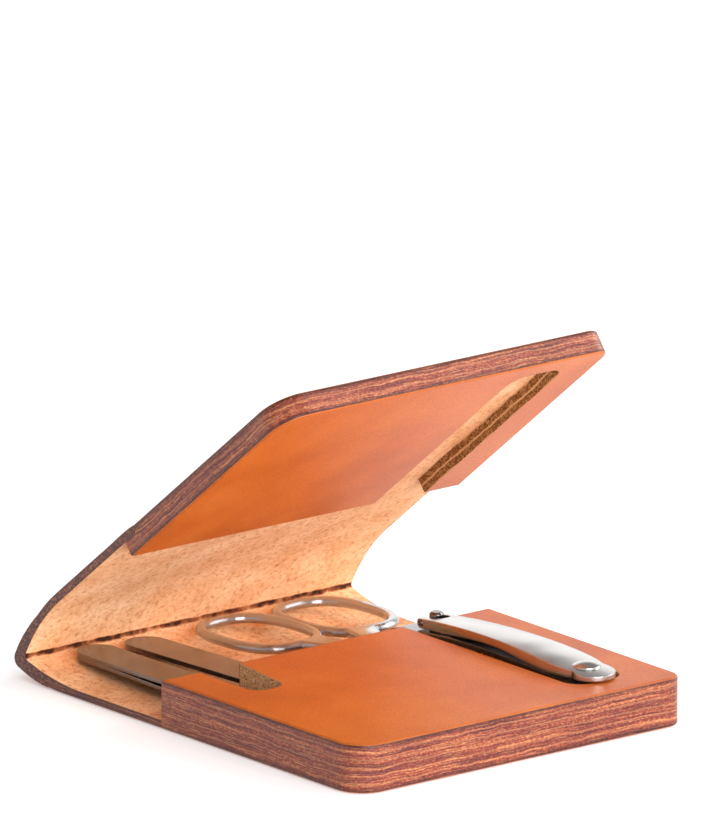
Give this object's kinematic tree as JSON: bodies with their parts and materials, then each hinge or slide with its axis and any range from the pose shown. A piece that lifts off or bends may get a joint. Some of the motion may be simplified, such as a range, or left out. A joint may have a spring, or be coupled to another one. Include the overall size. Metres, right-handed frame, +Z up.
{
  "type": "manicure set case",
  "caption": "Stacked-leather case with a folding lid, holding tweezers, a nail file, scissors and a nail clipper in fitted pockets.",
  "frame": {"origin": "middle of the base block's underside", "axes": "+X from the spine to the opening edge, +Y along the spine, +Z up"},
  "size_m": [0.1301, 0.1, 0.0908],
  "materials": {
    "leather_cover": "tan leather, suede side inwards and smooth side outwards, edges burnished dark",
    "leather_smooth": "smooth tan leather with dark burnished edges",
    "leather_raw": "leather layers, cut edges burnished red-brown",
    "steel": "satin stainless steel with polished edges",
    "magnet": "nickel-plated discs, hidden"
  },
  "bodies": {
    "case_base": {"cover_base_panel": "leather_cover", "base_layer_1": "leather_raw", "base_layer_2": "leather_raw", "base_layer_3": "leather_raw", "base_layer_4": "leather_raw", "base_layer_5": "leather_smooth", "base_magnets": "magnet"},
    "spine_flap": {"cover_spine_flap": "leather_cover"},
    "lid": {"cover_lid_panel": "leather_cover", "lid_core": "leather_raw", "lid_facing": "leather_smooth", "lid_magnets": "magnet"},
    "tweezers": {"tweezers_lower_arm": "steel"},
    "tweezers_arm": {"tweezers_upper_arm": "steel"},
    "file": {"nail_file": "steel"},
    "scissors": {"scissors_near_half": "steel", "scissors_pivot_screw": "steel"},
    "scissors_arm": {"scissors_far_half": "steel"},
    "clipper": {"clipper_lower_jaw": "steel", "clipper_rivet": "steel"},
    "clipper_jaw": {"clipper_upper_jaw": "steel"},
    "clipper_post": {"clipper_post": "steel"},
    "clipper_lever": {"clipper_lever": "steel", "clipper_cross_pin": "steel"}
  },
  "joints": [
    {"name": "crease_fold", "type": "hinge", "parent": "case_base", "child": "spine_flap", "pos_m": [-0.091, 0, 0.005], "axis": [0, -1, 0], "range_deg": [-31.7, 124.5]},
    {"name": "lid_fold", "type": "hinge", "parent": "spine_flap", "child": "lid", "pos_m": [-0.05149, 0, 0.04381], "axis": [0, -1, 0], "range_deg": [-6.8, 26.6]},
    {"name": "tweezers_slide", "type": "slide", "parent": "case_base", "child": "tweezers", "axis": [-0.9613, 0, 0.2756], "range_m": [0, 0.0018]},
    {"name": "tweezers_squeeze", "type": "hinge", "parent": "tweezers", "child": "tweezers_arm", "pos_m": [-0.076, -0.0342, 0.00573], "axis": [0, 1, 0], "range_deg": [0, 0.5], "stiffness_Nm_per_rad": 2},
    {"name": "file_slide", "type": "slide", "parent": "case_base", "child": "file", "axis": [-0.9613, 0, 0.2756], "range_m": [0, 0.0018]},
    {"name": "scissors_slide", "type": "slide", "parent": "case_base", "child": "scissors", "axis": [-0.9613, 0, 0.2756], "range_m": [0, 0.0018]},
    {"name": "scissors_open", "type": "hinge", "parent": "scissors", "child": "scissors_arm", "pos_m": [-0.0294, 0.0169, 0.00639], "axis": [0.0244, 0, -0.9997], "range_deg": [0, 3]},
    {"name": "clipper_lift", "type": "slide", "parent": "case_base", "child": "clipper", "axis": [0, 0, 1], "range_m": [0, 0.014]},
    {"name": "clipper_press", "type": "hinge", "parent": "clipper", "child": "clipper_jaw", "pos_m": [0.0226, 0.03145, 0.00985], "axis": [0, -1, 0], "range_deg": [0, 1.4], "stiffness_Nm_per_rad": 6},
    {"name": "clipper_swivel", "type": "hinge", "parent": "clipper", "child": "clipper_post", "pos_m": [-0.0339, 0.03145, 0.0126], "axis": [0, 0, 1], "range_deg": [-1.5, 1.5]},
    {"name": "lever_lift", "type": "hinge", "parent": "clipper_post", "child": "clipper_lever", "pos_m": [-0.0355, 0.03145, 0.0126], "axis": [0, -1, 0], "range_deg": [0, 55]}
  ],
  "couplings": [
    {"joint": "lid_fold", "follows": "crease_fold", "ratio": 0.213}
  ]
}
